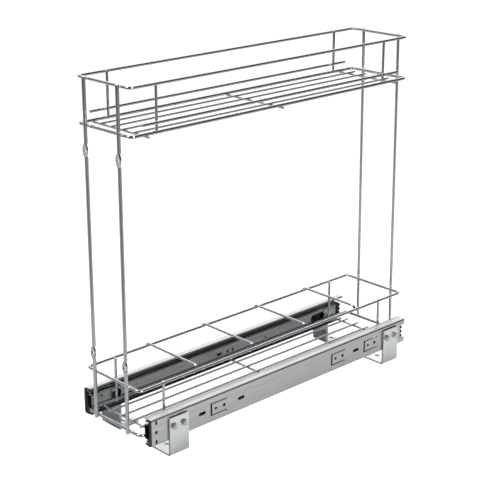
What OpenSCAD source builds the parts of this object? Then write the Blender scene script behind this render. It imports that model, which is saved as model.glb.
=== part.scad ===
// Two-tier pull-out basket for a narrow base cabinet, drawn pushed in.
// Millimetres. +X is right, -Y is the front (the way it pulls out), +Z is up.
// The origin is the centre of the footprint, on the cabinet floor.

/* [Slides] */
// Distance between the outer faces of the two slides
slide_span = 126.6; // [110:0.1:150]
// Length of the fixed cabinet member
slide_len = 450; // [400:1:550]
// Height of the cabinet member over its raised raceways
slide_h = 35; // [34:0.5:42]
// Thickness of a closed slide
slide_depth = 12.7; // [12.5:0.1:14]
// Height of the slide centre line above the cabinet floor
slide_z = 37.4; // [34:0.1:55]
// Distance of the slide front behind the front of the baskets
slide_setback = 6.5; // [4:0.1:12]
// Sheet thickness of the cabinet member
cabinet_t = 1.2; // [1:0.1:1.4]
// Sheet thickness of the intermediate member
middle_t = 1.0; // [0.8:0.1:1.2]
// Sheet thickness of the drawer member
drawer_t = 1.2; // [1:0.1:1.4]
// Length by which the two moving members are shorter than the cabinet member
member_short = 15.5; // [14.5:0.5:28]
// Ball diameter
ball_d = 3.175; // [2.9:0.005:3.3]
// Gap between a ball and the raceway round it
race_gap = 0.11; // [0.05:0.01:0.14]
// Distance of the outer ball row from the open side of the slide
ball_row_inset = 2.96; // [2.8:0.02:3.2]
// Length of a ball cage
cage_len = 160; // [100:5:190]
// Sheet thickness of a ball cage
cage_t = 0.6; // [0.4:0.1:0.7]
// Spacing of the balls in a row
ball_pitch = 17; // [10:1:30]
// Clearance between the layers of a slide
layer_gap = 0.3; // [0.25:0.01:0.35]

/* [Cabinet member cut-outs] */
// Distance of the front column of holes from the slide front
front_holes_y = 6.9; // [5:0.1:8]
// Height of the upper and lower front slots from the centre line
front_slot_z = 12.3; // [11.5:0.1:13.2]
// Length of the upper and lower front slots
front_slot_len = 5.4; // [4.5:0.1:6]
// Width of the upper and lower front slots
front_slot_w = 3.1; // [2.4:0.1:4]
// Width of a fixing slot
slot_w = 4.2; // [3:0.1:5]
// Length of a fixing slot
slot_len = 11; // [8:0.5:14]
// Positions of the fixing slots behind the slide front
slot_ys = [77.9, 141.5, 350.7];
// Positions of the front ends of the lanced tabs behind the slide front
tab_ys = [91.1, 302.6, 366.1];
// Length of a lanced tab
tab_len = 27; // [22:0.5:31]
// Height of a lanced tab
tab_h = 15; // [12:0.1:17]
// Width of the cut above and below a lanced tab, half that of the cut in front of it
lance_w = 1.3; // [0.6:0.1:2]
// Positions of the small and the large hole in a lanced tab, behind its front end
tab_hole_ys = [8.6, 22.2];
// Diameters of the small and the large hole in a lanced tab
tab_hole_ds = [3.6, 4.4];
// Length of the plastic stop in the front end
stop_len = 11; // [8:0.5:18]
// Thickness of the stop's cap over the front end of the web
stop_cap = 1.2; // [0.8:0.1:2]
// Diameter of the peg that holds the stop in the middle front hole
stop_peg_d = 3.8; // [3:0.1:4.1]
// Depth of the notch in the web at the rear end
rear_notch = 9; // [8.5:0.5:11]
// Height of the notch in the web at the rear end
rear_notch_h = 18.4; // [18:0.2:22]

/* [Drawer member cut-outs] */
// Height of the long screwdriver openings
access_h = 11.7; // [9:0.1:13.5]
// Middle of the front screwdriver opening behind the slide front
access_front_y = 39.4; // [36:0.1:54]
// Length of the front screwdriver opening in the intermediate member
access_front_len = 21.6; // [15:0.1:27]
// Diameter of the round front opening in the drawer member
access_round_d = 12.6; // [11:0.1:14.4]
// Height of the slot that runs to the front from the round opening
access_slot_h = 7; // [5:0.1:8]
// Length of that slot from the middle of the round opening
access_slot_len = 8.1; // [7:0.1:12]
// Length of the rear screwdriver opening
access_rear_len = 27; // [15:1:31]
// Middle of the rear screwdriver opening behind the slide front
access_rear_y = 397; // [383:1:405]
// Position of the middle slot behind the slide front
centre_slot_y = 209.3; // [180:0.1:216]
// Length of the middle slot
centre_slot_len = 9; // [7:0.5:12]
// Positions of the two standing slots behind the slide front
standing_slot_ys = [224.6, 233.6];
// Length of the standing slots
standing_slot_len = 5.4; // [4.5:0.1:7]
// Width of the middle slot, the standing slots and the small holes
small_slot_w = 3.1; // [2.4:0.1:4]
// Positions of the two small holes behind the slide front
small_hole_ys = [15, 294.8];
// Heights of the two small holes from the centre line
small_hole_zs = [4.9, 0];

/* [Brackets] */
// Height of a bracket
bracket_h = 49.2; // [45:0.1:72]
// Width of a bracket along the slide
bracket_w = 29.4; // [25:0.1:45]
// Length of the foot under the basket
bracket_foot = 33.6; // [25:0.1:45]
// Sheet thickness of a bracket
bracket_t = 2.2; // [1.4:0.1:2.8]
// Inner bend radius of a bracket
bracket_bend = 1; // [0.5:0.1:2]
// Front edge of the front brackets behind the slide front
bracket_front_y = 25.3; // [18:0.1:36]
// Front edge of the rear brackets behind the slide front
bracket_rear_y = 404.3; // [342:0.1:406]
// Distance of the foot slot from the outer face of the bracket
foot_slot_x = 22.8; // [14:0.1:23.5]
// Width of the foot slot
foot_slot_w = 4.5; // [3.6:0.1:6.3]
// Length of the foot slot, across the cabinet
foot_slot_len = 8.1; // [7:0.1:12]
// Diameter of the bracket screws
screw_d = 4; // [3:0.1:5]
// Spacing of the two screws of a bracket
screw_pitch = 15.3; // [12:0.1:20]
// Head diameter of the bracket screws
screw_head_d = 7.6; // [6:0.1:9]
// Head height of the bracket screws
screw_head_h = 1; // [0.6:0.1:1]
// Clearance round a screw shank in the slide and the bracket
screw_gap = 0.2; // [0.1:0.05:0.4]
// Size of the nuts across their flats
nut_af = 7; // [6:0.1:8.5]
// Height of the nuts
nut_h = 3.2; // [2.2:0.1:4.5]

/* [Baskets] */
// Height of the lower basket floor rim
lower_floor_z = 30.8; // [29.9:0.1:32.4]
// Height of the lower basket top rim
lower_top_z = 87.3; // [68:0.1:117]
// Height of the upper basket floor rim
upper_floor_z = 386.4; // [225:0.1:468]
// Height of the upper basket top rim
upper_top_z = 439.9; // [414:0.1:540]
// Outside length of the lower basket at its floor rim
lower_len = 464; // [455:0.5:560]
// Outside length of the upper basket at its top rim
upper_len = 458; // [450:0.5:560]
// Inside width of the upper basket
upper_inside_w = 88.6; // [72:0.2:95]
// Wire diameter of the two floor rims
floor_rim_d = 4; // [3:0.1:4.5]
// Wire diameter of the two top rims and the side rails
top_rim_d = 3.6; // [2.7:0.1:4.5]
// Bend radius of the rim corners
rim_bend = 5; // [4.5:0.5:27]
// Depth to which welded wires are set into each other
weld_set = 0.15; // [0.05:0.01:0.3]

/* [Basket wires] */
// Wire diameter of the floor wires and the cross wires
floor_wire_d = 2.7; // [2.2:0.1:3.6]
// Spacing of the floor wires
floor_pitch = 19.4; // [14.5:0.1:21.5]
// Distance of the first cross wire from the basket front
cross_front = 24; // [18:0.1:36]
// Spacing of the three cross wires
cross_pitch = 206; // [180:1:209]
// Length of floor wire past the first and last cross wire
floor_overhang = 6.8; // [3.6:0.1:11]
// Length of upper cross wire past each side of the rim
cross_overhang = 1.4; // [0:0.1:2.7]
// Wire diameter of the uprights
upright_d = 3.2; // [2.7:0.1:4]
// Distance of the front uprights from the basket front
upright_front = 40.5; // [31:0.5:72]
// Distance of the rear uprights from the basket rear
upright_rear = 43; // [31:0.5:72]
// Length of an upright past the rim at each end
upright_tip = 0.5; // [0:0.1:1]
// Wire diameter of the dividers
divider_d = 3.2; // [2.7:0.1:3.6]
// Distance of the first divider from the basket front
divider_front = 91.8; // [63:0.1:108]
// Spacing of the dividers
divider_pitch = 92.9; // [54:0.1:99]
// Angle through which the ends of a divider are bent down
divider_turn = 60; // [45:1:90]
// Bend radius of the dividers
divider_bend = 7; // [4.5:0.5:11]
// Height of the upper side rails above the floor rim
rail_rise = 10.5; // [7.2:0.1:27]
// Distance of the side rail ends from the front and rear of the basket
rail_inset = 17.5; // [9:0.5:27]

/* [Posts] */
// Wire diameter of the front posts
front_post_d = 4.5; // [3.6:0.1:5.4]
// Wire diameter of the rear posts
rear_post_d = 3.6; // [3.1:0.1:5.4]
// Distance between the centres of the two posts of a pair
post_span = 59.4; // [45:0.1:63]
// Length of a post past the lowest and the highest rim
post_tip = 2; // [0:0.1:3.6]
// Height of the lower door eyelets
eyelet_low_z = 113.2; // [112:0.1:162]
// Height of the upper door eyelets
eyelet_high_z = 358.7; // [180:0.1:360]
// Width of an eyelet
eyelet_w = 8.1; // [7:0.1:11]
// Length of an eyelet
eyelet_len = 18.9; // [14:0.1:24]
// Length of the fully flattened stretch at an eyelet
eyelet_flat = 13.5; // [11:0.1:16]
// Thickness to which the post is flattened
eyelet_t = 2.2; // [1.6:0.1:2.7]
// Hole diameter of an eyelet
eyelet_hole_d = 4.5; // [2.7:0.1:5]

/* [Hidden] */
$fn = 32;

CHROME = "#c3c7cb";
ZINC = "#aeb1b0";
STEEL = "#d8dadc";
BLACK = "#26282a";
LEFT = -1;
RIGHT = 1;
// Overlap of a cutting tool past the face that it cuts
OVER = 1;

// Slide: places across the slide are measured from its outer face, heights from its centre line.
outer_x = slide_span / 2;
inner_x = outer_x - slide_depth;
race_r = ball_d / 2 + race_gap;
// Half the angle of raceway that wraps a ball
wrap = 40;
// Slope of the line from an outer ball to the inner ball below it, off the vertical
sway = 42;
ball_step = 2 * race_r + middle_t;
outer_ball = [slide_depth - ball_row_inset, slide_h / 2 - cabinet_t - race_r];
inner_ball = outer_ball - ball_step * [sin(sway), cos(sway)];
outer_cage_x = cabinet_t + screw_head_h + layer_gap + cage_t / 2;
middle_x = outer_cage_x + cage_t / 2 + layer_gap + middle_t / 2;
inner_cage_x = middle_x + middle_t / 2 + layer_gap + cage_t / 2;
sheet_bend = 1.9;
member_len = slide_len - member_short;
cage_y = (member_len - cage_len) / 2;
bumper_gap = 0.5;

// Baskets: lengths are measured from the front face of the rims.
basket_lean = (lower_len - upper_len) / (upper_top_z - lower_floor_z);
lower_inside_x = inner_x + weld_set / 3 - floor_rim_d;
upper_inside_x = upper_inside_w / 2;
shift_y = -(lower_len + rear_post_d - front_post_d) / 2;

// Place on the rear face of the baskets at height z: it follows the lean of the rear posts.
function rear_y(z) = lower_len - basket_lean * (z - lower_floor_z);
function cross_z(rim_z) = rim_z - (floor_rim_d + floor_wire_d) / 2 + weld_set;
function unit(v) = v / norm(v);
function arc(c, r, a, b, steps = 6) =
    [for (i = [0:steps]) c + r * [cos(a + (b - a) * i / steps), sin(a + (b - a) * i / steps)]];
function last(p) = p[len(p) - 1];
function mirrored(half) = concat([for (i = [len(half) - 1:-1:0]) [half[i][0], -half[i][1]]], half);

// Unit tangent of a path at point i, and the point beside it at a distance d to the left
function tangent(p, i) =
    i == 0 ? unit(p[1] - p[0])
    : i == len(p) - 1 ? unit(p[i] - p[i - 1])
    : unit(unit(p[i] - p[i - 1]) + unit(p[i + 1] - p[i]));
function beside(p, i, d) =
    let (t = tangent(p, i), s = i == 0 ? t : unit(p[i] - p[i - 1]))
    p[i] + d / (t * s) * [-t[1], t[0]];

// A rolled sheet section of thickness t along the middle line p
module sheet(p, t) {
    polygon(concat(
        [for (i = [0:len(p) - 1]) beside(p, i, t / 2)],
        [for (i = [len(p) - 1:-1:0]) beside(p, i, -t / 2)]));
}

// Stands the children in the cabinet
module placed() {
    translate([0, shift_y, 0]) children();
}

// Draws the children, made for the right side, on either side
module on_side(side) {
    placed() mirror([side == LEFT ? 1 : 0, 0, 0]) children();
}

// Slide space of the right slide: x in from the outer face, y back from the slide front, z from its centre
module in_slide() {
    translate([outer_x, slide_setback, slide_z]) mirror([1, 0, 0]) children();
}

// Runs a section of the slide back from y over a length
module rolled(y, length) {
    translate([0, y + length, 0]) rotate([90, 0, 0]) linear_extrude(height = length) children();
}

// A round tool through a web, along x
module web_hole(y, z, d, x0, x1) {
    translate([x0, y, z]) rotate([0, 90, 0]) cylinder(h = x1 - x0, d = d);
}

// A tool for a slot with round ends through a web, lying along y or standing along z
module web_slot(y, z, length, w, x0, x1, standing = false) {
    turn = standing ? 90 : 0;
    reach = (length - w) / 2;
    translate([x0, y, z]) rotate([turn, 0, 0]) {
        for (end = [-1, 1]) translate([0, end * reach, 0]) rotate([0, 90, 0]) cylinder(h = x1 - x0, d = w);
        translate([0, -reach, -w / 2]) cube([x1 - x0, 2 * reach, w]);
    }
}

// A straight round wire between two points
module rod(p, q, d) {
    v = q - p;
    translate(p) rotate([0, acos(v[2] / norm(v)), atan2(v[1], v[0])]) cylinder(h = norm(v), d = d);
}

// A closed wire rim with round corners, its inside at half_w, its front face at 0 and rear face at length
module rim(half_w, length, z, d) {
    x = half_w + d / 2;
    y0 = d / 2;
    y1 = length - d / 2;
    for (side = [-1, 1]) rod([side * x, y0 + rim_bend, z], [side * x, y1 - rim_bend, z], d);
    for (y = [y0, y1]) rod([-x + rim_bend, y, z], [x - rim_bend, y, z], d);
    for (corner = [[x, y1, 0], [-x, y1, 90], [-x, y0, 180], [x, y0, 270]])
        translate([corner[0] - sign(corner[0]) * rim_bend,
                   corner[1] + (corner[1] == y0 ? rim_bend : -rim_bend), z])
            rotate(corner[2]) rotate_extrude(angle = 90) translate([rim_bend, 0]) circle(d = d);
}

// ---- slide members ----

// Middle line of half a section, from the web to the free edge
cabinet_bead = race_r + cabinet_t / 2;
cabinet_flat_z = outer_ball[1] + cabinet_bead * cos(wrap);
cabinet_half = concat(
    arc([cabinet_t / 2 + sheet_bend, cabinet_flat_z - sheet_bend], sheet_bend, 180, 90),
    arc(outer_ball, cabinet_bead, 90 + wrap, 90 - wrap),
    [[slide_depth - layer_gap, cabinet_flat_z]]);

middle_bead = race_r + middle_t / 2;
// Angle at which the crest over the inner ball runs out into the sloping shoulder
crest_end = 20;
middle_crest = arc(inner_ball, middle_bead, 90 + crest_end, 90 - sway);
middle_lip = 0.5;
middle_dip = arc(outer_ball, middle_bead, 270 - sway, 270 + sway, 8);
middle_half = concat(
    [[middle_x, middle_crest[0][1] - (middle_crest[0][0] - middle_x) * tan(crest_end)]],
    middle_crest,
    [for (i = [1:len(middle_dip) - 1]) middle_dip[i]],
    [last(middle_dip) + middle_lip * [cos(sway), sin(sway)]]);

drawer_bead = race_r + drawer_t / 2;
drawer_flat_z = inner_ball[1] - drawer_bead * cos(wrap);
drawer_half = concat(
    arc([slide_depth - drawer_t / 2 - sheet_bend, drawer_flat_z - sheet_bend], sheet_bend, 0, 90),
    arc(inner_ball, drawer_bead, 270 + wrap, 270 - crest_end));

// Places of the screws behind the slide front: two to a bracket, on the slide's centre line
bracket_ys = [bracket_front_y, bracket_rear_y];
screw_ys = [for (y = bracket_ys) for (end = [-1, 1]) y + bracket_w / 2 + end * screw_pitch / 2];

module lanced_tab(y, x0, x1) {
    for (end = [-1, 1]) translate([x0, y, end * tab_h / 2 - lance_w / 2]) cube([x1 - x0, tab_len, lance_w]);
    translate([x0, y, -tab_h / 2]) cube([x1 - x0, 2 * lance_w, tab_h]);
    for (i = [0, 1]) web_hole(y + tab_hole_ys[i], 0, tab_hole_ds[i], x0, x1);
}

module cabinet_member(side) {
    x0 = -OVER;
    x1 = cabinet_t + OVER / 2;
    color(ZINC) on_side(side) in_slide() difference() {
        rolled(0, slide_len) sheet(mirrored(cabinet_half), cabinet_t);
        web_hole(front_holes_y, 0, tab_hole_ds[1], x0, x1);
        for (end = [-1, 1])
            web_slot(front_holes_y, end * front_slot_z, front_slot_len, front_slot_w, x0, x1, standing = true);
        for (y = slot_ys) web_slot(y, 0, slot_len, slot_w, x0, x1);
        for (y = tab_ys) lanced_tab(y, x0, x1);
        for (y = screw_ys) web_hole(y, 0, screw_d + 2 * screw_gap, x0, x1);
        translate([x0, slide_len - rear_notch, -rear_notch_h / 2]) cube([x1 - x0, rear_notch + OVER, rear_notch_h]);
    }
}

// The plastic stop in the front end of the cabinet member: a plate on the web with a block in
// each corner, clear of the intermediate member, a cap over the end of the sheet and a peg
module front_stop(side) {
    face = middle_x - middle_t / 2 - layer_gap;
    block_inner_x = 2 * face;
    block_outer_x = 2.5 * face;
    plate_z = middle_half[0][1] + 2 * layer_gap;
    block_z = inner_ball[1] + race_r + middle_t + 1.5 * layer_gap;
    // Play under the flange, and overlap of the pieces of the stop
    loose = 0.1;
    lap = 0.4;
    flange_z = cabinet_flat_z - cabinet_t / 2 - loose;
    sheet_z = cabinet_flat_z + cabinet_t / 2;
    color(BLACK) on_side(side) in_slide() {
        rolled(-stop_cap, stop_cap + stop_len) polygon(mirrored([
            [face, plate_z], [block_inner_x, block_z], [block_outer_x, block_z], [block_outer_x, flange_z],
            [cabinet_t + sheet_bend, flange_z], [cabinet_t, flange_z - sheet_bend]]));
        rolled(-stop_cap, stop_cap) polygon(mirrored([
            [cabinet_t + lap, sheet_z - sheet_bend], [block_outer_x, flange_z - loose], [block_outer_x, sheet_z],
            [sheet_bend, sheet_z], [0, sheet_z - sheet_bend]]));
        web_hole(front_holes_y, 0, stop_peg_d, lap, cabinet_t + lap);
    }
}

module middle_member(side) {
    x0 = middle_x - middle_t;
    x1 = middle_x + middle_t;
    color(ZINC) on_side(side) in_slide() difference() {
        rolled(0, member_len) sheet(mirrored(middle_half), middle_t);
        web_slot(access_front_y, 0, access_front_len, access_h, x0, x1);
        web_slot(access_rear_y, 0, access_rear_len, access_h, x0, x1);
    }
}

module drawer_member(side) {
    x0 = slide_depth - 2 * drawer_t;
    x1 = slide_depth + OVER;
    color(ZINC) on_side(side) in_slide() difference() {
        rolled(0, member_len) sheet(mirrored(drawer_half), drawer_t);
        web_hole(access_front_y, 0, access_round_d, x0, x1);
        translate([x0, access_front_y - access_slot_len, -access_slot_h / 2])
            cube([x1 - x0, access_slot_len, access_slot_h]);
        web_slot(access_rear_y, 0, access_rear_len, access_h, x0, x1);
        web_slot(centre_slot_y, 0, centre_slot_len, small_slot_w, x0, x1);
        for (y = standing_slot_ys) web_slot(y, 0, standing_slot_len, small_slot_w, x0, x1, standing = true);
        for (i = [0, 1]) web_hole(small_hole_ys[i], small_hole_zs[i], small_slot_w, x0, x1);
    }
}

// ---- ball cages ----

ball_count = floor((cage_len - ball_pitch) / ball_pitch) + 1;
ball_ys = [for (i = [0:ball_count - 1]) cage_y + cage_len / 2 + (i - (ball_count - 1) / 2) * ball_pitch];
// Radius of a ball pocket, and the width of strip past the ball row
pocket_gap = 0.15;
strip_past = 1.9;
cage_bend = 0.6;

// A C-shaped strip cage with its web at x and its two strips at the height of the balls
module cage(x, ball) {
    half = concat(
        arc([x + cage_bend, ball[1] - cage_bend], cage_bend, 180, 90, 4),
        [[ball[0] + strip_past, ball[1]]]);
    difference() {
        rolled(cage_y, cage_len) sheet(mirrored(half), cage_t);
        for (y = ball_ys)
            translate([ball[0], y, -ball[1] - cage_t]) cylinder(h = 2 * (ball[1] + cage_t), r = ball_d / 2 + pocket_gap);
    }
}

module balls(ball) {
    for (y = ball_ys) for (end = [-1, 1]) translate([ball[0], y, end * ball[1]]) sphere(d = ball_d);
}

module outer_cage(side) {
    color(BLACK) on_side(side) in_slide() cage(outer_cage_x, outer_ball);
}

module inner_cage(side) {
    color(BLACK) on_side(side) in_slide() cage(inner_cage_x, inner_ball);
}

module outer_balls(side) {
    color(STEEL) on_side(side) in_slide() balls(outer_ball);
}

module inner_balls(side) {
    color(STEEL) on_side(side) in_slide() balls(inner_ball);
}

// The buffer in the rear notch that the two moving members come home to
module rear_bumper(side) {
    back = slide_len - rear_notch;
    base = member_short - rear_notch - bumper_gap;
    depth = slide_depth - 2 * cabinet_t;
    lug_d = 4.4;
    lug_y = back + lug_d / 2 + 0.1;
    lug_pitch = rear_notch_h / 3;
    lug_x = cabinet_t / 4;
    color(BLACK) on_side(side) in_slide() {
        translate([cabinet_t, back - base, -rear_notch_h / 2]) cube([depth, base, rear_notch_h]);
        for (row = [-1, 0, 1]) web_hole(lug_y, row * lug_pitch, lug_d, lug_x, cabinet_t + depth);
        translate([cabinet_t, back - OVER, -rear_notch_h / 2]) cube([depth, OVER + lug_d / 2, rear_notch_h]);
    }
}

// ---- brackets and their fasteners ----

bracket_outer = bracket_bend + bracket_t;
// Section of a bracket: x in from its outer face, y up from the cabinet floor
bracket_line = concat(
    [[bracket_t / 2, bracket_h]],
    arc([bracket_outer, bracket_outer], bracket_bend + bracket_t / 2, 180, 270),
    [[bracket_t + bracket_foot, bracket_t / 2]]);

module bracket(side, y) {
    middle = slide_setback + y + bracket_w / 2;
    corner = 2;
    color(ZINC) on_side(side) difference() {
        translate([outer_x + bracket_t, slide_setback, 0]) mirror([1, 0, 0])
            rolled(y, bracket_w) sheet(bracket_line, bracket_t);
        for (end = [-1, 1]) {
            translate([outer_x - OVER, middle + end * screw_pitch / 2, slide_z]) rotate([0, 90, 0])
                cylinder(h = bracket_t + 2 * OVER, d = screw_d + 2 * screw_gap);
            // The rounded upper corners of the standing leaf
            translate([outer_x - OVER, middle + end * (bracket_w / 2 - corner), bracket_h - corner]) difference() {
                translate([0, end < 0 ? -corner - OVER : 0, 0]) cube([bracket_t + 2 * OVER, corner + OVER, corner + OVER]);
                rotate([0, 90, 0]) cylinder(h = bracket_t + 2 * OVER, r = corner);
            }
        }
        translate([outer_x + bracket_t - foot_slot_x, middle, -OVER]) {
            reach = (foot_slot_len - foot_slot_w) / 2;
            for (end = [-1, 1]) translate([end * reach, 0, 0]) cylinder(h = bracket_t + 2 * OVER, d = foot_slot_w);
            translate([-reach, -foot_slot_w / 2, 0]) cube([2 * reach, foot_slot_w, bracket_t + 2 * OVER]);
        }
    }
}

// Runs the children on each of the eight screw axes, x outwards from the outer face of the bracket
module at_screws() {
    for (side = [LEFT, RIGHT]) for (y = screw_ys)
        on_side(side) translate([outer_x + bracket_t, slide_setback + y, slide_z]) rotate([0, 90, 0]) children();
}

module bracket_screws() {
    tip = 0.8;
    grip = bracket_t + cabinet_t;
    color(STEEL) at_screws() {
        translate([0, 0, -grip]) cylinder(h = grip + nut_h + tip, d = screw_d);
        translate([0, 0, -grip - screw_head_h]) cylinder(h = screw_head_h, d = screw_head_d);
    }
}

module bracket_nuts() {
    thread_gap = 0.02;
    color(STEEL) at_screws() difference() {
        cylinder(h = nut_h, d = nut_af / cos(30), $fn = 6);
        translate([0, 0, -OVER]) cylinder(h = nut_h + 2 * OVER, d = screw_d + 2 * thread_gap);
    }
}

// ---- baskets ----

module lower_floor_rim() {
    color(CHROME) placed() rim(lower_inside_x, rear_y(lower_floor_z), lower_floor_z, floor_rim_d);
}

module lower_top_rim() {
    color(CHROME) placed() rim(lower_inside_x, rear_y(lower_top_z), lower_top_z, top_rim_d);
}

module upper_floor_rim() {
    color(CHROME) placed() rim(upper_inside_x, rear_y(upper_floor_z), upper_floor_z, floor_rim_d);
}

module upper_top_rim() {
    color(CHROME) placed() rim(upper_inside_x, rear_y(upper_top_z), upper_top_z, top_rim_d);
}

// Cross wire number i under a floor rim, reaching x to each side
module cross_wire(i, rim_z, x) {
    y = cross_front + (i - 1) * cross_pitch;
    z = cross_z(rim_z);
    color(CHROME) placed() rod([-x, y, z], [x, y, z], floor_wire_d);
}

module lower_cross_wire(i) {
    // The ends stop short of the slides
    end_gap = 0.9;
    cross_wire(i, lower_floor_z, lower_inside_x + floor_rim_d - end_gap);
}

module upper_cross_wire(i) {
    cross_wire(i, upper_floor_z, upper_inside_x + floor_rim_d + cross_overhang);
}

// Floor wire number i of four, lying on the cross wires
module floor_wire(i, rim_z) {
    x = (i - 2.5) * floor_pitch;
    z = cross_z(rim_z) + floor_wire_d - weld_set;
    color(CHROME) placed()
        rod([x, cross_front - floor_overhang, z], [x, cross_front + 2 * cross_pitch + floor_overhang, z], floor_wire_d);
}

// Upright number i of four, on the inside of the rims: front right, front left, rear right, rear left
module upright(i, inside_x, floor_z, top_z) {
    x = (i % 2 == 1 ? 1 : -1) * (inside_x - upright_d / 2 + weld_set);
    y = i <= 2 ? upright_front : rear_y(floor_z) - upright_rear;
    color(CHROME) placed()
        rod([x, y, floor_z - upright_tip], [x, y, top_z + upright_tip], upright_d);
}

module lower_upright(i) {
    upright(i, lower_inside_x, lower_floor_z, lower_top_z);
}

module upper_upright(i) {
    upright(i, upper_inside_x, upper_floor_z, upper_top_z);
}

// Divider number i, bridging the lower top rim with its ends bent down onto the rim wires
module divider(i) {
    // Distance from the middle of the rim wire at which an end is welded on
    hold = 1.3;
    rim_x = lower_inside_x + top_rim_d / 2;
    flat_x = rim_x - hold * cos(divider_turn) - divider_bend * sin(divider_turn);
    rise = hold * sin(divider_turn) + divider_bend * (1 - cos(divider_turn));
    color(CHROME) placed() translate([0, divider_front + (i - 1) * divider_pitch, lower_top_z + rise]) {
        rotate([0, 90, 0]) cylinder(h = 2 * flat_x, d = divider_d, center = true);
        for (side = [0, 1]) mirror([side, 0, 0]) translate([flat_x, 0, -divider_bend])
            rotate([-90, -90, 0]) rotate_extrude(angle = divider_turn) translate([divider_bend, 0]) circle(d = divider_d);
    }
}

module side_rail(side) {
    x = upper_inside_x + top_rim_d / 2;
    z = upper_floor_z + rail_rise;
    color(CHROME) on_side(side) rod([x, rail_inset, z], [x, rear_y(z) - rail_inset, z], top_rim_d);
}

// ---- posts ----

post_x = post_span / 2;
post_low_z = lower_floor_z - post_tip;
post_high_z = upper_top_z + post_tip;

// The outline of an eyelet, pointed at both ends
module lens(w, h) {
    r = (w * w + h * h) / (4 * w);
    intersection() {
        translate([r - w / 2, 0]) circle(r = r, $fn = 96);
        translate([w / 2 - r, 0]) circle(r = r, $fn = 96);
    }
}

// The tool that flattens the back of the post, with a ramp at each end
module flattening() {
    r = front_post_d / 2;
    ramp = 4;
    flat = eyelet_flat / 2;
    translate([-eyelet_w, 0, 0]) rotate([90, 0, 90]) linear_extrude(height = 2 * eyelet_w)
        polygon([[eyelet_t - r, -flat], [eyelet_t - r, flat], [r + OVER, flat + ramp], [r + OVER, -flat - ramp]]);
}

module front_post(side) {
    eyelets = [eyelet_low_z, eyelet_high_z];
    r = front_post_d / 2;
    color(CHROME) on_side(side) translate([post_x, weld_set - r, 0]) difference() {
        union() {
            difference() {
                rod([0, 0, post_low_z], [0, 0, post_high_z], front_post_d);
                for (z = eyelets) translate([0, 0, z]) flattening();
            }
            // The flattened stretch stays in line with the front of the post
            for (z = eyelets) translate([0, eyelet_t - r, z]) rotate([90, 0, 0])
                linear_extrude(height = eyelet_t) lens(eyelet_w, eyelet_len);
        }
        for (z = eyelets) translate([0, front_post_d, z]) rotate([90, 0, 0]) cylinder(h = 2 * front_post_d, d = eyelet_hole_d);
    }
}

module rear_post(side) {
    back = rear_post_d / 2 - weld_set;
    color(CHROME) on_side(side)
        rod([post_x, rear_y(post_low_z) + back, post_low_z], [post_x, rear_y(post_high_z) + back, post_high_z], rear_post_d);
}

bracket(RIGHT, bracket_front_y);  // bracket_front_right
bracket(LEFT, bracket_front_y);  // bracket_front_left
bracket(RIGHT, bracket_rear_y);  // bracket_rear_right
bracket(LEFT, bracket_rear_y);  // bracket_rear_left
bracket_screws();
bracket_nuts();
cabinet_member(RIGHT);  // cabinet_member_right
cabinet_member(LEFT);  // cabinet_member_left
front_stop(RIGHT);  // front_stop_right
front_stop(LEFT);  // front_stop_left
rear_bumper(RIGHT);  // rear_bumper_right
rear_bumper(LEFT);  // rear_bumper_left
outer_cage(RIGHT);  // outer_cage_right
outer_cage(LEFT);  // outer_cage_left
outer_balls(RIGHT);  // outer_balls_right
outer_balls(LEFT);  // outer_balls_left
middle_member(RIGHT);  // middle_member_right
middle_member(LEFT);  // middle_member_left
inner_cage(RIGHT);  // inner_cage_right
inner_cage(LEFT);  // inner_cage_left
inner_balls(RIGHT);  // inner_balls_right
inner_balls(LEFT);  // inner_balls_left
drawer_member(RIGHT);  // drawer_member_right
drawer_member(LEFT);  // drawer_member_left
lower_floor_rim();
lower_top_rim();
lower_cross_wire(1);  // lower_cross_wire_1
lower_cross_wire(2);  // lower_cross_wire_2
lower_cross_wire(3);  // lower_cross_wire_3
floor_wire(1, lower_floor_z);  // lower_floor_wire_1
floor_wire(2, lower_floor_z);  // lower_floor_wire_2
floor_wire(3, lower_floor_z);  // lower_floor_wire_3
floor_wire(4, lower_floor_z);  // lower_floor_wire_4
lower_upright(1);  // lower_upright_1
lower_upright(2);  // lower_upright_2
lower_upright(3);  // lower_upright_3
lower_upright(4);  // lower_upright_4
divider(1);  // divider_1
divider(2);  // divider_2
divider(3);  // divider_3
divider(4);  // divider_4
upper_floor_rim();
upper_top_rim();
upper_cross_wire(1);  // upper_cross_wire_1
upper_cross_wire(2);  // upper_cross_wire_2
upper_cross_wire(3);  // upper_cross_wire_3
floor_wire(1, upper_floor_z);  // upper_floor_wire_1
floor_wire(2, upper_floor_z);  // upper_floor_wire_2
floor_wire(3, upper_floor_z);  // upper_floor_wire_3
floor_wire(4, upper_floor_z);  // upper_floor_wire_4
upper_upright(1);  // upper_upright_1
upper_upright(2);  // upper_upright_2
upper_upright(3);  // upper_upright_3
upper_upright(4);  // upper_upright_4
side_rail(RIGHT);  // side_rail_right
side_rail(LEFT);  // side_rail_left
front_post(RIGHT);  // front_post_right
front_post(LEFT);  // front_post_left
rear_post(RIGHT);  // rear_post_right
rear_post(LEFT);  // rear_post_left
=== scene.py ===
import logging
import math
from collections.abc import Iterable, Iterator
from dataclasses import asdict, dataclass
from enum import Enum
from typing import Any

import bmesh
import bpy
from mathutils import Matrix, Vector


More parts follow.
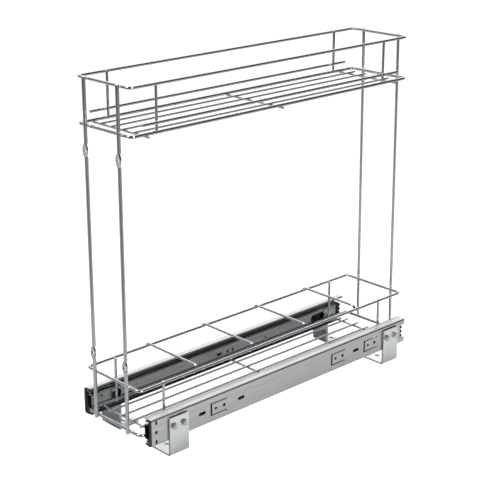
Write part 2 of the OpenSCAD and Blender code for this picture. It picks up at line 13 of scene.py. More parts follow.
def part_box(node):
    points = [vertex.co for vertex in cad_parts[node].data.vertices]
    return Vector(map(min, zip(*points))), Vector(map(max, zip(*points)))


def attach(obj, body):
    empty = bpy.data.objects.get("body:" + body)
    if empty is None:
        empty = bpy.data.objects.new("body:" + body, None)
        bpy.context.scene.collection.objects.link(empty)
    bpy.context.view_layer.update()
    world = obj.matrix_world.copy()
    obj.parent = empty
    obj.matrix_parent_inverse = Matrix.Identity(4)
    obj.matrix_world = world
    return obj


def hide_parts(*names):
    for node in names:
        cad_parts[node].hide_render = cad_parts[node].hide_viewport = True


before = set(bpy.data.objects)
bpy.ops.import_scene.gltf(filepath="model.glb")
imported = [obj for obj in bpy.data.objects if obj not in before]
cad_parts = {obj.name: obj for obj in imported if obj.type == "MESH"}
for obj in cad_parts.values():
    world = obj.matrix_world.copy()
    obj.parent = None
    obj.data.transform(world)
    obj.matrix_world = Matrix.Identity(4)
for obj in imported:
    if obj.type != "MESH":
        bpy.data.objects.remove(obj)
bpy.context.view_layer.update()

MM = 0.001
# Points closer together than this are one point
MERGE_MM = 0.001
# Edges that turn by more than this are shaded sharp
CREASE_DEG = 35

log = logging.getLogger("cabinet_basket")


class Side(Enum):
    """The two sides of the basket, with the sign of their X."""

    RIGHT = 1
    LEFT = -1

    @property
    def word(self) -> str:
        """The side's word in the names of the nodes."""
        return self.name.lower()


class Tier(Enum):
    """The two wire baskets."""

    LOWER = "lower"
    UPPER = "upper"


def linear(hex_colour: str) -> tuple[float, float, float, float]:
    """Turns an sRGB hex colour into the linear RGBA that Blender's sockets take.

    Args:
        hex_colour: six hex digits after a hash sign.

    Returns:
        Linear red, green and blue, and an alpha of 1.
    """
    parts = [int(hex_colour[i:i + 2], 16) / 255 for i in (1, 3, 5)]
    red, green, blue = (c / 12.92 if c <= 0.04045 else ((c + 0.055) / 1.055) ** 2.4 for c in parts)
    return red, green, blue, 1.0


def add_node(
    tree: bpy.types.NodeTree,
    kind: str,
    inputs: dict[str | int, Any] | None = None,
    **settings: Any,
) -> bpy.types.Node:
    """Adds a shader node with its settings, values and links.

    Args:
        tree: node tree that receives the node.
        kind: Blender's name of the node type, without its ShaderNode prefix.
        inputs: for a named or numbered input, its value or the output socket that feeds it.
        **settings: properties of the node itself.

    Returns:
        The new node.
    """
    node = tree.nodes.new("ShaderNode" + kind)
    for name, value in settings.items():
        setattr(node, name, value)
    for name, value in (inputs or {}).items():
        if isinstance(value, bpy.types.NodeSocket):
            tree.links.new(value, node.inputs[name])
        else:
            node.inputs[name].default_value = value
    return node


# ---- finishes ----


@dataclass(frozen=True)
class Finish:
    """A surface finish whose pattern reads Object coordinates."""

    name: str
    colour: str
    shade: str
    metallic: float
    roughness: float
    roughness_spread: float
    grain_mm: tuple[float, float, float]
    relief_mm: float

    def material(self) -> bpy.types.Material:
        """Builds the finish once and gives it again after that.

        Returns:
            The finish as a Blender material.
        """
        made = bpy.data.materials.get(self.name)
        if made:
            return made
        made = bpy.data.materials.new(self.name)
        made.use_nodes = True
        tree = made.node_tree
        tree.nodes.clear()
        place = add_node(tree, "TexCoord").outputs["Object"]
        grain = self.grain(tree, place)
        tint = add_node(tree, "Mix", {
            0: grain, 6: linear(self.colour), 7: linear(self.shade),
        }, data_type="RGBA")
        tint = self.painted_shade(tree, place, tint.outputs[2])
        rough = add_node(tree, "MapRange", {
            "Value": grain,
            "To Min": self.roughness,
            "To Max": self.roughness + self.roughness_spread,
        })
        bump = add_node(tree, "Bump", {"Height": grain, "Strength": 1.0, "Distance": self.relief_mm * MM})
        shader = add_node(tree, "BsdfPrincipled", {
            "Base Color": tint,
            "Metallic": self.metallic,
            "Roughness": rough.outputs[0],
            "Normal": bump.outputs[0],
        })
        add_node(tree, "OutputMaterial", {"Surface": shader.outputs[0]})
        return made

    def grain(self, tree: bpy.types.NodeTree, place: bpy.types.NodeSocket) -> bpy.types.NodeSocket:
        """Draws the grain of the surface.

        Args:
            tree: node tree of the material.
            place: Object coordinates in metres.

        Returns:
            A value from 0 to 1.
        """
        scale = tuple(1 / (size * MM) for size in self.grain_mm)
        mapped = add_node(tree, "Mapping", {"Vector": place, "Scale": scale})
        noise = add_node(tree, "TexNoise", {
            "Vector": mapped.outputs[0], "Scale": 1.0, "Detail": 3.0, "Roughness": 0.6,
        })
        spread = add_node(tree, "MapRange", {"Value": noise.outputs[0], "From Min": 0.3, "From Max": 0.7})
        return spread.outputs[0]

    def painted_shade(
        self, tree: bpy.types.NodeTree, place: bpy.types.NodeSocket, tint: bpy.types.NodeSocket
    ) -> bpy.types.NodeSocket:
        """Leaves the tint as it is; a finish with painted shade colours it here.

        Args:
            tree: node tree of the material.
            place: Object coordinates in metres.
            tint: colour so far.

        Returns:
            The colour for the shader.
        """
        return tint


@dataclass(frozen=True)
class RolledMember(Finish):
    """Zinc plate on a rolled slide member, with painted shade within the slide."""

    web_x: float
    web_z: float
    half_web_mm: float
    lip_from_mm: float
    # Painted shade on the inner faces of the web
    film: str
    # Near-black painted shade on the walls of the web's cut-outs
    grease: str
    # Flange lips: bare steel, widened into painted shade
    sheared_edge_shade: str
    skin_mm: float = 0.15
    wall_normal: float = 0.5

    def painted_shade(
        self, tree: bpy.types.NodeTree, place: bpy.types.NodeSocket, tint: bpy.types.NodeSocket
    ) -> bpy.types.NodeSocket:
        """Paints shade on the web's inner face and near-black shade on its cut-outs' walls; darkens the lips
        with bare steel and painted shade.

        Args:
            tree: node tree of the material.
            place: Object coordinates in metres.
            tint: colour so far.

        Returns:
            The colour for the shader.
        """
        axes = add_node(tree, "SeparateXYZ", {"Vector": place})
        across = add_node(tree, "Math", {0: axes.outputs["X"]}, operation="ABSOLUTE")
        depth = add_node(tree, "Math", {0: across.outputs[0], 1: self.web_x}, operation="SUBTRACT")
        depth = add_node(tree, "Math", {0: depth.outputs[0]}, operation="ABSOLUTE")
        inside = add_node(tree, "Math", {0: depth.outputs[0], 1: self.skin_mm * MM}, operation="GREATER_THAN")
        height = add_node(tree, "Math", {0: axes.outputs["Z"], 1: self.web_z}, operation="SUBTRACT")
        height = add_node(tree, "Math", {0: height.outputs[0]}, operation="ABSOLUTE")
        web = add_node(tree, "Math", {0: height.outputs[0], 1: self.half_web_mm * MM}, operation="LESS_THAN")
        both = add_node(tree, "Math", {0: inside.outputs[0], 1: web.outputs[0]}, operation="MULTIPLY")
        # Painted shade on the web's inner faces, within the web's height
        mixed = add_node(tree, "Mix", {0: both.outputs[0], 6: tint, 7: linear(self.film)}, data_type="RGBA")
        facing = add_node(tree, "SeparateXYZ", {"Vector": add_node(tree, "TexCoord").outputs["Normal"]})
        facing = add_node(tree, "Math", {0: facing.outputs["X"]}, operation="ABSOLUTE")
        wall = add_node(tree, "Math", {0: facing.outputs[0], 1: self.wall_normal}, operation="LESS_THAN")
        wall = add_node(tree, "Math", {0: wall.outputs[0], 1: both.outputs[0]}, operation="MULTIPLY")
        # Near-black painted shade on the walls of the cut-outs
        mixed = add_node(tree, "Mix", {0: wall.outputs[0], 6: mixed.outputs[2], 7: linear(self.grease)},
                         data_type="RGBA")
        # Flange lips: bare steel, widened into painted shade of the gap beside them
        lip = add_node(tree, "Math", {
            0: depth.outputs[0], 1: self.lip_from_mm * MM,
        }, operation="GREATER_THAN")
        flange = add_node(tree, "Math", {0: 1.0, 1: web.outputs[0]}, operation="SUBTRACT")
        edge = add_node(tree, "Math", {0: lip.outputs[0], 1: flange.outputs[0]}, operation="MULTIPLY")
        mixed = add_node(tree, "Mix", {0: edge.outputs[0], 6: mixed.outputs[2], 7: linear(self.sheared_edge_shade)},
                         data_type="RGBA")
        return mixed.outputs[2]


@dataclass(frozen=True)
class EdgeShadedPlate(Finish):
    """Zinc plate on a pressed bracket, with painted shade on its cut front and top edges."""

    front_y: float
    top_z: float
    # Colour of the painted shade on the front and top edges
    edge: str
    edge_mm: float = 0.2

    def painted_shade(
        self, tree: bpy.types.NodeTree, place: bpy.types.NodeSocket, tint: bpy.types.NodeSocket
    ) -> bpy.types.NodeSocket:
        """Paints shade on the front edge and the top edge of the bracket.

        Args:
            tree: node tree of the material.
            place: Object coordinates in metres.
            tint: colour so far.

        Returns:
            The colour for the shader.
        """
        axes = add_node(tree, "SeparateXYZ", {"Vector": place})
        front = add_node(tree, "Math", {
            0: axes.outputs["Y"], 1: self.front_y + self.edge_mm * MM,
        }, operation="LESS_THAN")
        top = add_node(tree, "Math", {
            0: axes.outputs["Z"], 1: self.top_z - self.edge_mm * MM,
        }, operation="GREATER_THAN")
        either = add_node(tree, "Math", {0: front.outputs[0], 1: top.outputs[0]}, operation="MAXIMUM")
        # Painted shade on the front and top edges
        mixed = add_node(tree, "Mix", {0: either.outputs[0], 6: tint, 7: linear(self.edge)}, data_type="RGBA")
        return mixed.outputs[2]


# Drawn mild steel wire under bright decorative chrome: dark where it mirrors the room, white at its rims
CHROMED_WIRE = Finish("bright chromed wire", "#c3c6ca", "#b6b9be", 1.0, 0.09, 0.05, (14, 14, 14), 0.003)
# The same chrome over a resistance weld: rounder and a little duller, from the heat
WELD_CHROME = Finish("chromed weld", "#c6c9cc", "#aeb1b5", 1.0, 0.16, 0.08, (1.5, 1.5, 1.5), 0.01)
# Turned and pressed small hardware in bright zinc
BRIGHT_ZINC = Finish("bright zinc hardware", "#d2d4d6", "#bfc2c4", 1.0, 0.16, 0.08, (3, 3, 3), 0.003)
# Hardened bearing steel, lapped to a mirror under a film of grease
BEARING_STEEL = Finish("lapped bearing steel", "#c9ccd0", "#b7bbc0", 1.0, 0.08, 0.06, (3, 3, 3), 0.001)
# Acetal moulded in a spark-eroded tool: matte black with a fine even grain
MOULDED_ACETAL = Finish("moulded black acetal", "#17181a", "#232527", 0.0, 0.45, 0.15, (0.8, 0.8, 0.8), 0.02)
# Nitrile buffer: blacker and softer in its gloss than the acetal
NITRILE = Finish("black nitrile", "#121314", "#1d1e1f", 0.0, 0.6, 0.15, (1.2, 1.2, 1.2), 0.03)
# The intermediate member: the same zinc strip, darker, partly from the grease of the two ball rows and partly
# as painted shade within the slide
GREASED_SHADED_ZINC = Finish("greased zinc strip", "#a4a7a7", "#909393", 1.0, 0.3, 0.1, (4, 260, 2.2), 0.003)
# Electro-galvanised strip, cold rolled: long streaks along the slide, a soft sheen
CABINET_ZINC = Finish("cabinet member zinc", "#c0c1c0", "#b3b5b4", 1.0, 0.26, 0.08, (4, 260, 2.2), 0.003)
# The same strip on the drawer members, a little darker than the cabinet zinc as painted shade
DRAWER_ZINC = Finish("drawer member zinc", "#bfc1c1", "#abadad", 1.0, 0.24, 0.08, (4, 260, 2.2), 0.003)
# Pressed bracket sheet, zinc plated after bending: an even satin without a rolling direction
BRACKET_ZINC = Finish("bracket zinc", "#e2e5e5", "#dadddd", 1.0, 0.3, 0.05, (16, 16, 16), 0.003)


def shaded(piece: bpy.types.Object, finish: Finish) -> None:
    """Gives a piece one finish in each of its material slots.

    Args:
        piece: mesh object.
        finish: finish to give.
    """
    material = finish.material()
    if not piece.material_slots:
        piece.data.materials.append(material)
    for slot in piece.material_slots:
        slot.material = material


def dress(names: Iterable[str], finish: Finish) -> None:
    """Gives CAD nodes a finish and reports them.

    Args:
        names: names of the nodes.
        finish: finish to give.
    """
    for name in names:
        shaded(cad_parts[name], finish)
        log.info("dressed %s in %s", name, finish.name)


def finished_piece(
    mesh: bmesh.types.BMesh, name: str, body: str, finish: Finish
) -> bpy.types.Object:
    """Turns a finished bmesh into a smooth-shaded piece that rides on a body.

    Args:
        mesh: the piece in the row frame, in metres; it is freed here.
        name: name of the piece.
        body: CAD body that it moves with.
        finish: finish to give.

    Returns:
        The new object.
    """
    bmesh.ops.remove_doubles(mesh, verts=mesh.verts, dist=MERGE_MM * MM)
    bmesh.ops.recalc_face_normals(mesh, faces=mesh.faces)
    for face in mesh.faces:
        face.smooth = True
    for edge in mesh.edges:
        if len(edge.link_faces) == 2 and edge.calc_face_angle() > math.radians(CREASE_DEG):
            edge.smooth = False
    data = bpy.data.meshes.new(name)
    mesh.to_mesh(data)
    mesh.free()
    piece = bpy.data.objects.new(name, data)
    bpy.context.scene.collection.objects.link(piece)
    shaded(piece, finish)
    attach(piece, body)
    log.info("built %s with %d faces", name, len(data.polygons))
    return piece


def middle(node: str) -> Vector:
    """The middle of a CAD node's box."""
    low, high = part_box(node)
    return (low + high) / 2


# ---- baskets ----


@dataclass
class WireBasket:
    """One tier: its rims, floor, uprights and the welds that join them."""

    tier: Tier
    cross_wires: int = 3
    floor_wires: int = 4
    uprights: int = 4
    dividers: int = 0
    rails: bool = False
    bead_mm: float = 1.5
    bead_flat: float = 0.75

    def node_names(self) -> list[str]:
        """Lists the CAD nodes of this tier.

        Returns:
            The names of its rims, wires, uprights, dividers and rails.
        """
        tier = self.tier.value
        names = [f"{tier}_floor_rim", f"{tier}_top_rim"]
        for kind, count in (("cross_wire", self.cross_wires), ("floor_wire", self.floor_wires),
                            ("upright", self.uprights)):
            names += [f"{tier}_{kind}_{i + 1}" for i in range(count)]
        names += [f"divider_{i + 1}" for i in range(self.dividers)]
        if self.rails:
            names += [f"side_rail_{side.word}" for side in Side]
        return names

    def weld_points(self) -> Iterator[Vector]:
        """Works out where wires of this tier cross.

        Yields:
            The middle of each weld.
        """
        tier = self.tier.value
        rim_low, rim_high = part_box(f"{tier}_floor_rim")
        rim_d = rim_high.z - rim_low.z
        for i in range(self.cross_wires):
            low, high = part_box(f"{tier}_cross_wire_{i + 1}")
            for j in range(self.floor_wires):
                yield Vector((middle(f"{tier}_floor_wire_{j + 1}").x, (low.y + high.y) / 2, high.z))
            for side in Side:
                yield Vector((side.value * (rim_high.x - rim_d / 2), (low.y + high.y) / 2, rim_low.z))
        for i in range(self.uprights):
            centre = middle(f"{tier}_upright_{i + 1}")
            for rim in (f"{tier}_floor_rim", f"{tier}_top_rim"):
                low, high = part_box(rim)
                wire = high.z - low.z
                yield Vector((math.copysign(high.x - wire, centre.x), centre.y, (low.z + high.z) / 2))

    def welds(self) -> bpy.types.Object:
        """Builds the small squeezed beads of the resistance welds.

        Returns:
            All the beads of this tier as one piece.
        """
        mesh = bmesh.new()
        for point in self.weld_points():
            place = Matrix.Translation(point) @ Matrix.Diagonal((1, 1, self.bead_flat, 1))
            bmesh.ops.create_icosphere(mesh, subdivisions=2, radius=self.bead_mm * MM, matrix=place)
        return finished_piece(mesh, f"{self.tier.value}_welds", "basket", WELD_CHROME)

    def build(self) -> None:
        """Dresses the wires and adds the welds."""
        dress(self.node_names(), CHROMED_WIRE)
        self.welds()


@dataclass
class Posts:
    """The four posts that carry the upper tier, and their welds to the rims."""

    bead_mm: float = 1.9
    bead_flat: float = 0.8

    def welds(self) -> bpy.types.Object:
        """Builds a bead where each post passes each rim.

        Returns:
            All the beads of the posts as one piece.
        """
        mesh = bmesh.new()
        for side in Side:
            for end, sign in (("front", -1), ("rear", 1)):
                post = middle(f"{end}_post_{side.word}")
                for tier in Tier:
                    for rim in ("floor_rim", "top_rim"):
                        low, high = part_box(f"{tier.value}_{rim}")
                        y = low.y if sign < 0 else high.y
                        place = Matrix.Translation((post.x, y, (low.z + high.z) / 2))
                        place @= Matrix.Diagonal((1, self.bead_flat, 1, 1))
                        bmesh.ops.create_icosphere(
                            mesh, subdivisions=2, radius=self.bead_mm * MM, matrix=place)
        return finished_piece(mesh, "post_welds", "basket", WELD_CHROME)

    def build(self) -> None:
        """Dresses the posts and adds the welds."""
        dress([f"{end}_post_{side.word}" for end in ("front", "rear") for side in Side], CHROMED_WIRE)
        self.welds()


# ---- slides ----


@dataclass
class Slides:
    """The two ball-bearing slides."""

    # Painted shade on the members' inner web faces
    film: str = "#989b9a"
    # Near-black painted shade in the web's cut-outs
    grease: str = "#1c1d1e"
    # Flange lips: bare steel, widened into painted shade
    sheared_edge_shade: str = "#5c5f62"
    lip_mm: float = 2.2
    cabinet_half_web_mm: float = 14.0
    drawer_half_web_mm: float = 9.0

    def member_finish(self, node: str, side: Side) -> RolledMember:
        """The zinc of one member, free of painted shade only on the face of its web that is seen.

        Args:
            node: name of the member's node.
            side: side that it is on.

        Returns:
            The finish, with the places of this member's web.
        """
        low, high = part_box(node)
        far, near = (high.x, low.x) if side is Side.RIGHT else (-low.x, -high.x)
        outer = node.startswith("cabinet")
        zinc = asdict(CABINET_ZINC if outer else DRAWER_ZINC)
        zinc["name"] = f"{node} zinc"
        return RolledMember(
            **zinc, web_x=far if outer else near, web_z=(low.z + high.z) / 2,
            half_web_mm=self.cabinet_half_web_mm if outer else self.drawer_half_web_mm,
            lip_from_mm=(far - near) / MM - self.lip_mm,
            film=self.film, grease=self.grease, sheared_edge_shade=self.sheared_edge_shade)

    def build(self) -> None:
        """Dresses the members, cages, balls, stops and buffers."""
        for side in Side:
            for member in ("cabinet", "drawer"):
                node = f"{member}_member_{side.word}"
                dress([node], self.member_finish(node, side))
            dress([f"middle_member_{side.word}"], GREASED_SHADED_ZINC)
            for row in ("outer", "inner"):
                dress([f"{row}_cage_{side.word}"], MOULDED_ACETAL)
                dress([f"{row}_balls_{side.word}"], BEARING_STEEL)
            dress([f"front_stop_{side.word}"], MOULDED_ACETAL)
            dress([f"rear_bumper_{side.word}"], NITRILE)


# ---- brackets ----


@dataclass
class Brackets:
    """The four floor brackets with their screws and nuts."""

    screw_d_mm: float = 4.0
    screw_pitch_mm: float = 15.3
    thread_mm: float = 0.7
    thread_depth: float = 0.55
    shank_sides: int = 24
    grip_mm: float = 3.4
    head_d_mm: float = 7.6
    head_h_mm: float = 1.0
    head_edge_mm: float = 0.3
    head_sides: int = 32
    recess_mm: float = 0.8
    recess_len_mm: float = 4.0
    recess_depth_mm: float = 0.6
    nut_af_mm: float = 7.0
    nut_sides: int = 6
    chamfer_mm: float = 0.4
    same_height_mm: float = 0.01
    cut_mm: float = 0.0001
    # Painted shade on the brackets' front and top edges
    sheared_edge_shade: str = "#a0a3a6"

    def names(self) -> list[tuple[str, Side]]:
        """The bracket nodes and their sides."""
        return [(f"bracket_{end}_{side.word}", side) for end in ("front", "rear") for side in Side]

    def screw_places(self) -> Iterator[tuple[Side, Vector]]:
        """Works out the eight screw axes.

        Yields:
            The side, and the point where the axis leaves the bracket's outer face.
        """
        height = middle("bracket_screws").z
        for name, side in self.names():
            low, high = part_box(name)
            face = high.x if side is Side.RIGHT else low.x
            for end in (-1, 1):
                y = (low.y + high.y) / 2 + end * self.screw_pitch_mm * MM / 2
                yield side, Vector((face, y, height))

    @staticmethod
    def outward(side: Side, place: Vector) -> Matrix:
        """The transform that stands a shape made along +Z on a screw axis."""
        return Matrix.Translation(place) @ Matrix.Rotation(side.value * math.pi / 2, 4, "Y")

    def nut(self, mesh: bmesh.types.BMesh, place: Matrix, height: float) -> None:
        """Adds a hexagon nut with chamfered corners.

        Args:
            mesh: mesh that receives the nut.
            place: transform from the nut's own frame, its seat at z = 0.
            height: height of the nut in metres.
        """
        corner = self.nut_af_mm / 2 / math.cos(math.pi / self.nut_sides) * MM
        made = bmesh.ops.create_cone(
            mesh, cap_ends=True, segments=self.nut_sides, radius1=corner, radius2=corner, depth=height,
            matrix=place @ Matrix.Translation((0, 0, height / 2)))
        verts = made["verts"]
        edges = [e for e in {edge for v in verts for edge in v.link_edges}
                 if any(len(face.verts) == self.nut_sides for face in e.link_faces)]
        bmesh.ops.bevel(mesh, geom=edges, offset=self.chamfer_mm * MM, affect="EDGES",
                        segments=2, profile=0.5, material=-1)

    def shank(self, mesh: bmesh.types.BMesh, place: Matrix, start: float, end: float) -> None:
        """Adds a shank with rolled thread grooves.

        Args:
            mesh: mesh that receives the shank.
            place: transform from the screw's own frame.
            start: height of the shank's foot in metres.
            end: height of its tip in metres.
        """
        radius = self.screw_d_mm / 2 * MM
        root = radius - self.thread_depth * self.thread_mm * MM
        turns = int((end - start) / (self.thread_mm * MM))
        points = [mesh.verts.new(place @ Vector((0, 0, start)))]
        for i in range(turns):
            z = start + i * self.thread_mm * MM
            points.append(mesh.verts.new(place @ Vector((root, 0, z))))
            points.append(mesh.verts.new(place @ Vector((radius, 0, z + self.thread_mm * MM / 2))))
        points.append(mesh.verts.new(place @ Vector((root, 0, end))))
        points.append(mesh.verts.new(place @ Vector((0, 0, end))))
        edges = [mesh.edges.new(pair) for pair in zip(points, points[1:])]
        bmesh.ops.spin(
            mesh, geom=points + edges, cent=place.translation, axis=place.to_3x3() @ Vector((0, 0, 1)),
            angle=2 * math.pi, steps=self.shank_sides, use_merge=True)

    def head(self, mesh: bmesh.types.BMesh, place: Matrix, seat: float) -> None:
        """Adds a flat round head with a cross recess, facing down the screw's own axis.

        Args:
            mesh: mesh that receives the head.
            place: transform from the screw's own frame.
            seat: height of the head's seat in metres.
        """
        radius, height = self.head_d_mm / 2 * MM, self.head_h_mm * MM
        made = bmesh.ops.create_cone(
            mesh, cap_ends=True, segments=self.head_sides, radius1=radius, radius2=radius, depth=height,
            matrix=place @ Matrix.Translation((0, 0, seat - height / 2)))
        verts = set(made["verts"])
        to_own = place.inverted()
        face = next(f for f in {f for v in verts for f in v.link_faces}
                    if len(f.verts) == self.head_sides
                    and (to_own @ f.calc_center_median()).z < seat - height / 2)
        bmesh.ops.bevel(mesh, geom=list(face.edges), offset=self.head_edge_mm * MM, affect="EDGES",
                        segments=2, profile=0.5, material=-1)
        near = self.same_height_mm * MM
        face = max((f for f in mesh.faces if len(f.verts) == self.head_sides
                    and abs((to_own @ f.calc_center_median()).z - (seat - height)) < near),
                   key=lambda f: f.calc_area())
        pieces = [face]
        half, reach = self.recess_mm / 2 * MM, self.recess_len_mm / 2 * MM
        axes = place.to_3x3()
        for direction in (Vector((1, 0, 0)), Vector((0, 1, 0))):
            for offset in (-reach, -half, half, reach):
                sides = [e for f in pieces for e in f.edges]
                corners = [v for f in pieces for v in f.verts]
                cut = bmesh.ops.bisect_plane(
                    mesh, geom=list({*pieces, *sides, *corners}), dist=self.cut_mm * MM,
                    plane_co=place @ (direction * offset), plane_no=axes @ direction)
                pieces = [g for g in cut["geom"] if isinstance(g, bmesh.types.BMFace)]
        cross = []
        for f in pieces:
            own = to_own @ f.calc_center_median()
            long, short = max(abs(own.x), abs(own.y)), min(abs(own.x), abs(own.y))
            if short < half and long < reach:
                cross.append(f)
        sunk = bmesh.ops.extrude_face_region(mesh, geom=cross)
        moved = [g for g in sunk["geom"] if isinstance(g, bmesh.types.BMVert)]
        bmesh.ops.delete(mesh, geom=cross, context="FACES_ONLY")
        bmesh.ops.translate(mesh, verts=moved, vec=axes @ Vector((0, 0, self.recess_depth_mm * MM)))

    def fasteners(self) -> None:
        """Builds the screws and nuts, in place of their plain solids."""
        screws, nuts = bmesh.new(), bmesh.new()
        screw_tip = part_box("bracket_screws")[1].x
        nut_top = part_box("bracket_nuts")[1].x
        for side, spot in self.screw_places():
            place = self.outward(side, spot)
            face = abs(spot.x)
            seat = -self.grip_mm * MM
            self.shank(screws, place, seat, screw_tip - face)
            self.head(screws, place, seat)
            self.nut(nuts, place, nut_top - face)
        made = finished_piece(screws, "threaded_screws", "base", BRIGHT_ZINC)
        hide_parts("bracket_screws")
        made = finished_piece(nuts, "hexagon_nuts", "base", BRIGHT_ZINC)
        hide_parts("bracket_nuts")

    def build(self) -> None:
        """Dresses the brackets and builds their fasteners."""
        for name, _ in self.names():
            low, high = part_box(name)
            zinc = asdict(BRACKET_ZINC)
            zinc["name"] = f"{name} zinc"
            dress([name], EdgeShadedPlate(**zinc, front_y=low.y, top_z=high.z, edge=self.sheared_edge_shade))
        self.fasteners()


# ---- studio ----


@dataclass(frozen=True)
class Panel:
    """A bright part of the room, with soft edges."""

    name: str
    turn_deg: float
    rise_deg: float
    full_deg: float
    none_deg: float
    level: float


@dataclass(frozen=True)
class Softbox:
    """A square lamp that faces the object."""

    name: str
    place_mm: tuple[float, float, float]
    size_mm: float
    watts: float


@dataclass
class Studio:
    """Pale floor, soft lights and the camera at the photograph's angle.

    The camera sees a white floor and a white room. The metal mirrors other tones: light grey paper,
    a darker floor past it, a white card beside the right slide, and a dim room with two panels.
    """

    target_mm: tuple[float, float, float] = (-0.4, -25.4, 211.27)
    azimuth_deg: float = 46.68
    elevation_deg: float = 18.86
    distance_mm: float = 1603.35
    focal_mm: float = 96.87
    sensor_mm: float = 36.0
    floor_mm: float = 40000.0
    floor_lift: float = 0.9
    seen_paper: str = "#a0a0a0"
    white_card: str = "#ececec"
    card_middle_mm: tuple[float, float] = (160.0, 70.0)
    card_half_mm: tuple[float, float] = (90.0, 270.0)
    card_soft_mm: float = 50.0
    mirrored_paper: str = "#c8c8c8"
    bare_floor: str = "#828282"
    paper_front_mm: float = 350.0
    paper_half_mm: float = 1700.0
    paper_soft_mm: float = 350.0
    room_level: float = 0.05
    white: str = "#ffffff"

    @property
    def target(self) -> Vector:
        """The point that the camera and the lamps look at, in metres."""
        return Vector(self.target_mm) * MM

    def camera(self) -> None:
        """Places the camera on its line of sight."""
        azimuth, elevation = math.radians(self.azimuth_deg), math.radians(self.elevation_deg)
        back = Vector((
            math.sin(azimuth) * math.cos(elevation),
            -math.cos(azimuth) * math.cos(elevation),
            math.sin(elevation)))
        data = bpy.data.cameras.new("photo_camera")
        data.lens, data.sensor_width = self.focal_mm, self.sensor_mm
        camera = bpy.data.objects.new("photo_camera", data)
        camera.location = self.target + back * self.distance_mm * MM
        camera.rotation_euler = back.to_track_quat("Z", "Y").to_euler()
        bpy.context.scene.collection.objects.link(camera)
        bpy.context.scene.camera = camera
        log.info("placed %s", camera.name)

    def floor(self) -> None:
        """Lays a floor that the camera sees as white with a faint shadow, and metal as darker paper."""
        mesh = bmesh.new()
        bmesh.ops.create_grid(mesh, x_segments=1, y_segments=1, size=self.floor_mm / 2 * MM)
        data = bpy.data.meshes.new("studio_floor")
        mesh.to_mesh(data)
        mesh.free()
        floor = bpy.data.objects.new("studio_floor", data)
        bpy.context.scene.collection.objects.link(floor)
        material = bpy.data.materials.new("white paper floor")
        material.use_nodes = True
        tree = material.node_tree
        tree.nodes.clear()
        seen = add_node(tree, "LightPath").outputs["Is Camera Ray"]
        lift = add_node(tree, "Math", {0: seen, 1: self.floor_lift}, operation="MULTIPLY")
        ground = add_node(tree, "Mix", {
            0: self.on_paper(tree), 6: linear(self.bare_floor), 7: linear(self.mirrored_paper),
        }, data_type="RGBA")
        ground = add_node(tree, "Mix", {
            0: self.on_card(tree), 6: ground.outputs[2], 7: linear(self.white_card),
        }, data_type="RGBA")
        colour = add_node(tree, "Mix", {0: seen, 6: ground.outputs[2], 7: linear(self.seen_paper)},
                          data_type="RGBA")
        paper = add_node(tree, "BsdfDiffuse", {"Color": colour.outputs[2]})
        glow = add_node(tree, "Emission", {"Color": linear(self.white), "Strength": lift.outputs[0]})
        both = add_node(tree, "AddShader", {0: paper.outputs[0], 1: glow.outputs[0]})
        add_node(tree, "OutputMaterial", {"Surface": both.outputs[0]})
        data.materials.append(material)
        log.info("laid %s", floor.name)

    def on_paper(self, tree: bpy.types.NodeTree) -> bpy.types.NodeSocket:
        """Masks the paper sweep on the dark floor: a wide strip that runs on behind the object.

        Args:
            tree: node tree of the floor's material.

        Returns:
            1 on the paper and 0 on the bare floor.
        """
        place = add_node(tree, "TexCoord").outputs["Object"]
        azimuth = math.radians(self.azimuth_deg)
        front = add_node(tree, "VectorMath", {0: place, 1: (math.sin(azimuth), -math.cos(azimuth), 0)},
                         operation="DOT_PRODUCT").outputs["Value"]
        aside = add_node(tree, "VectorMath", {0: place, 1: (math.cos(azimuth), math.sin(azimuth), 0)},
                         operation="DOT_PRODUCT").outputs["Value"]
        aside = add_node(tree, "Math", {0: aside}, operation="ABSOLUTE").outputs[0]
        masks = [
            self.fade(tree, distance, edge_mm, self.paper_soft_mm)
            for distance, edge_mm in ((front, self.paper_front_mm), (aside, self.paper_half_mm))
        ]
        return add_node(tree, "Math", {0: masks[0], 1: masks[1]}, operation="MULTIPLY").outputs[0]

    def on_card(self, tree: bpy.types.NodeTree) -> bpy.types.NodeSocket:
        """Masks the white card that lies beside the right slide and lights its web.

        Args:
            tree: node tree of the floor's material.

        Returns:
            1 on the card and 0 off it.
        """
        axes = add_node(tree, "SeparateXYZ", {"Vector": add_node(tree, "TexCoord").outputs["Object"]})
        masks = []
        for axis, middle_mm, half_mm in zip("XY", self.card_middle_mm, self.card_half_mm):
            distance = add_node(tree, "Math", {
                0: axes.outputs[axis], 1: middle_mm * MM,
            }, operation="SUBTRACT")
            distance = add_node(tree, "Math", {0: distance.outputs[0]}, operation="ABSOLUTE")
            masks.append(self.fade(tree, distance.outputs[0], half_mm, self.card_soft_mm))
        return add_node(tree, "Math", {0: masks[0], 1: masks[1]}, operation="MULTIPLY").outputs[0]

    @staticmethod
    def fade(
        tree: bpy.types.NodeTree, distance: bpy.types.NodeSocket, edge_mm: float, soft_mm: float
    ) -> bpy.types.NodeSocket:
        """Makes a mask that is 1 up to an edge and falls softly to 0 past it.

        Args:
            tree: node tree of the floor's material.
            distance: distance in metres.
            edge_mm: distance at which the mask starts to fall.
            soft_mm: length over which it falls.

        Returns:
            The mask.
        """
        return add_node(tree, "MapRange", {
            "Value": distance,
            "From Min": edge_mm * MM,
            "From Max": (edge_mm + soft_mm) * MM,
            "To Min": 1.0,
            "To Max": 0.0,
        }, interpolation_type="SMOOTHSTEP").outputs[0]

    def panels(self) -> tuple[Panel, ...]:
        """Lists the bright parts of the room, turned from the line of sight.

        Returns:
            The cove and the reflector.
        """
        return (
            Panel("cove behind the basket", turn_deg=180, rise_deg=40, full_deg=28, none_deg=50, level=1.6),
            Panel("reflector on the left", turn_deg=-90, rise_deg=22, full_deg=20, none_deg=46, level=0.3),
        )

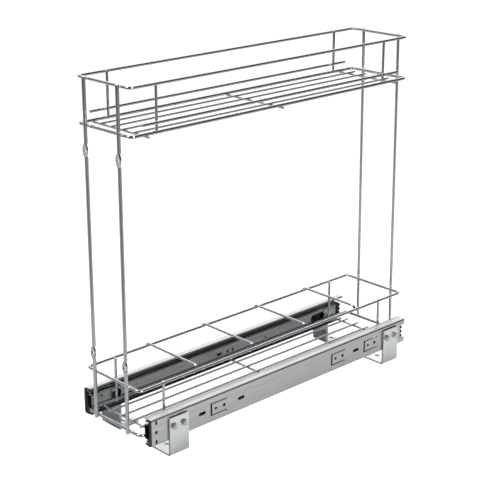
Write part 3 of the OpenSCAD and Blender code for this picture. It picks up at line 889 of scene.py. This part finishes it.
    def world(self) -> None:
        """Surrounds the set with a dim room and its bright panels, which the camera sees as white."""
        world = bpy.data.worlds.new("studio room")
        world.use_nodes = True
        tree = world.node_tree
        tree.nodes.clear()
        direction = add_node(tree, "TexCoord").outputs["Generated"]
        level = add_node(tree, "Value").outputs[0]
        level.default_value = self.room_level
        for panel in self.panels():
            turn, rise = math.radians(self.azimuth_deg + panel.turn_deg), math.radians(panel.rise_deg)
            toward = (math.sin(turn) * math.cos(rise), -math.cos(turn) * math.cos(rise), math.sin(rise))
            facing = add_node(tree, "VectorMath", {0: direction, 1: toward}, operation="DOT_PRODUCT")
            lit = add_node(tree, "MapRange", {
                "Value": facing.outputs["Value"],
                "From Min": math.cos(math.radians(panel.none_deg)),
                "From Max": math.cos(math.radians(panel.full_deg)),
                "To Min": 0.0,
                "To Max": panel.level,
            }, interpolation_type="SMOOTHSTEP")
            level = add_node(tree, "Math", {0: level, 1: lit.outputs[0]}, operation="MAXIMUM").outputs[0]
            log.info("lit the %s", panel.name)
        seen = add_node(tree, "LightPath").outputs["Is Camera Ray"]
        level = add_node(tree, "Math", {0: level, 1: seen}, operation="MAXIMUM").outputs[0]
        background = add_node(tree, "Background", {"Color": linear(self.white), "Strength": level})
        add_node(tree, "OutputWorld", {"Surface": background.outputs[0]})
        bpy.context.scene.world = world
        log.info("built the %s", world.name)

    def softboxes(self) -> tuple[Softbox, ...]:
        """Lists the lamps.

        Returns:
            The key light in front on the left and the one on the right.
        """
        return (
            Softbox("key_softbox", place_mm=(-900, -1600, 2000), size_mm=1000, watts=38),
            Softbox("side_softbox", place_mm=(2100, -300, 1100), size_mm=900, watts=36),
        )

    def hang(self, softbox: Softbox) -> None:
        """Hangs a softbox and turns it to the object.

        Args:
            softbox: its name, place, size and power.
        """
        data = bpy.data.lights.new(softbox.name, "AREA")
        data.size, data.energy = softbox.size_mm * MM, softbox.watts
        lamp = bpy.data.objects.new(softbox.name, data)
        lamp.location = Vector(softbox.place_mm) * MM
        lamp.rotation_euler = (lamp.location - self.target).to_track_quat("Z", "Y").to_euler()
        bpy.context.scene.collection.objects.link(lamp)
        log.info("hung %s", softbox.name)

    def build(self) -> None:
        """Sets up the whole studio."""
        self.camera()
        self.floor()
        self.world()
        for softbox in self.softboxes():
            self.hang(softbox)
        bpy.context.scene.view_settings.view_transform = "Standard"


def main() -> None:
    """Dresses the whole basket and sets up the studio."""
    logging.basicConfig(level=logging.INFO, format="%(message)s")
    WireBasket(Tier.LOWER, dividers=4).build()
    WireBasket(Tier.UPPER, rails=True).build()
    Posts().build()
    Slides().build()
    Brackets().build()
    Studio().build()


if __name__ == "__main__":
    main()
